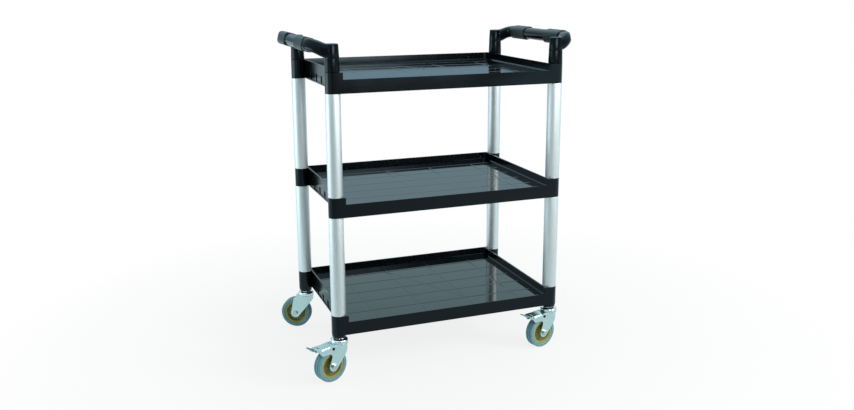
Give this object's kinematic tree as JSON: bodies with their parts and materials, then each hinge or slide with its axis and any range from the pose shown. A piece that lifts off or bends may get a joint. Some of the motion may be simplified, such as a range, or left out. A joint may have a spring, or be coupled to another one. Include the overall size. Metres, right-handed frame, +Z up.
{
  "type": "service cart",
  "caption": "Wheeled service cart with moulded open-front trays on tube posts, push handles at both ends and swivel casters with toe brakes.",
  "frame": {"origin": "on the floor, midway between the four post axes", "axes": "+Z up, +X along the trays towards the right handle, -Y towards the trays' open fronts"},
  "size_m": [0.7702, 0.4695, 0.8825],
  "materials": {
    "shelf_plastic": "smooth moulded",
    "handle_plastic": "satin moulded",
    "socket_plastic": "satin moulded",
    "tube_aluminium": "satin anodised",
    "bright_steel": "bright plated",
    "zinc_steel": "zinc plated",
    "fastener_steel": "zinc plated",
    "hub_plastic": "moulded",
    "tyre_rubber": "smooth non-marking"
  },
  "bodies": {
    "frame": {"top_shelf": "shelf_plastic", "middle_shelf": "shelf_plastic", "bottom_shelf": "shelf_plastic", "upper_post_front_left": "tube_aluminium", "upper_post_front_right": "tube_aluminium", "upper_post_back_left": "tube_aluminium", "upper_post_back_right": "tube_aluminium", "lower_post_front_left": "tube_aluminium", "lower_post_front_right": "tube_aluminium", "lower_post_back_left": "tube_aluminium", "lower_post_back_right": "tube_aluminium", "left_handle": "handle_plastic", "right_handle": "handle_plastic", "caster_socket_front_left": "socket_plastic", "caster_stem_front_left": "bright_steel", "caster_race_front_left": "bright_steel", "caster_socket_front_right": "socket_plastic", "caster_stem_front_right": "bright_steel", "caster_race_front_right": "bright_steel", "caster_socket_back_left": "socket_plastic", "caster_stem_back_left": "bright_steel", "caster_race_back_left": "bright_steel", "caster_socket_back_right": "socket_plastic", "caster_stem_back_right": "bright_steel", "caster_race_back_right": "bright_steel"},
    "swivel_front_left": {"caster_fork_front_left": "zinc_steel", "axle_bolt_front_left": "fastener_steel", "axle_nut_front_left": "fastener_steel", "brake_pin_front_left": "fastener_steel"},
    "wheel_front_left": {"wheel_hub_front_left": "hub_plastic", "wheel_tyre_front_left": "tyre_rubber"},
    "pedal_front_left": {"brake_pedal_front_left": "zinc_steel"},
    "swivel_front_right": {"caster_fork_front_right": "zinc_steel", "axle_bolt_front_right": "fastener_steel", "axle_nut_front_right": "fastener_steel", "brake_pin_front_right": "fastener_steel"},
    "wheel_front_right": {"wheel_hub_front_right": "hub_plastic", "wheel_tyre_front_right": "tyre_rubber"},
    "pedal_front_right": {"brake_pedal_front_right": "zinc_steel"},
    "swivel_back_left": {"caster_fork_back_left": "zinc_steel", "axle_bolt_back_left": "fastener_steel", "axle_nut_back_left": "fastener_steel"},
    "wheel_back_left": {"wheel_hub_back_left": "hub_plastic", "wheel_tyre_back_left": "tyre_rubber"},
    "swivel_back_right": {"caster_fork_back_right": "zinc_steel", "axle_bolt_back_right": "fastener_steel", "axle_nut_back_right": "fastener_steel"},
    "wheel_back_right": {"wheel_hub_back_right": "hub_plastic", "wheel_tyre_back_right": "tyre_rubber"}
  },
  "joints": [
    {"name": "swivel_front_left", "type": "hinge", "parent": "frame", "child": "swivel_front_left", "pos_m": [-0.306, -0.189, 0.1], "axis": [0, 0, 1], "continuous": true},
    {"name": "wheel_spin_front_left", "type": "hinge", "parent": "swivel_front_left", "child": "wheel_front_left", "pos_m": [-0.33419, -0.19926, 0.044], "axis": [0.342, -0.9397, 0], "continuous": true},
    {"name": "brake_front_left", "type": "hinge", "parent": "swivel_front_left", "child": "pedal_front_left", "pos_m": [-0.33419, -0.19926, 0.0925], "axis": [0.342, -0.9397, 0], "range_deg": [0, 8]},
    {"name": "swivel_front_right", "type": "hinge", "parent": "frame", "child": "swivel_front_right", "pos_m": [0.306, -0.189, 0.1], "axis": [0, 0, 1], "continuous": true},
    {"name": "wheel_spin_front_right", "type": "hinge", "parent": "swivel_front_right", "child": "wheel_front_right", "pos_m": [0.27696, -0.19651, 0.044], "axis": [0.2504, -0.9681, 0], "continuous": true},
    {"name": "brake_front_right", "type": "hinge", "parent": "swivel_front_right", "child": "pedal_front_right", "pos_m": [0.27696, -0.19651, 0.0925], "axis": [0.2504, -0.9681, 0], "range_deg": [0, 8]},
    {"name": "swivel_back_left", "type": "hinge", "parent": "frame", "child": "swivel_back_left", "pos_m": [-0.306, 0.189, 0.1], "axis": [0, 0, 1], "continuous": true},
    {"name": "wheel_spin_back_left", "type": "hinge", "parent": "swivel_back_left", "child": "wheel_back_left", "pos_m": [-0.33249, 0.20308, 0.044], "axis": [-0.4695, -0.8829, 0], "continuous": true},
    {"name": "swivel_back_right", "type": "hinge", "parent": "frame", "child": "swivel_back_right", "pos_m": [0.306, 0.189, 0.1], "axis": [0, 0, 1], "continuous": true},
    {"name": "wheel_spin_back_right", "type": "hinge", "parent": "swivel_back_right", "child": "wheel_back_right", "pos_m": [0.27702, 0.19676, 0.044], "axis": [-0.2588, -0.9659, 0], "continuous": true}
  ]
}
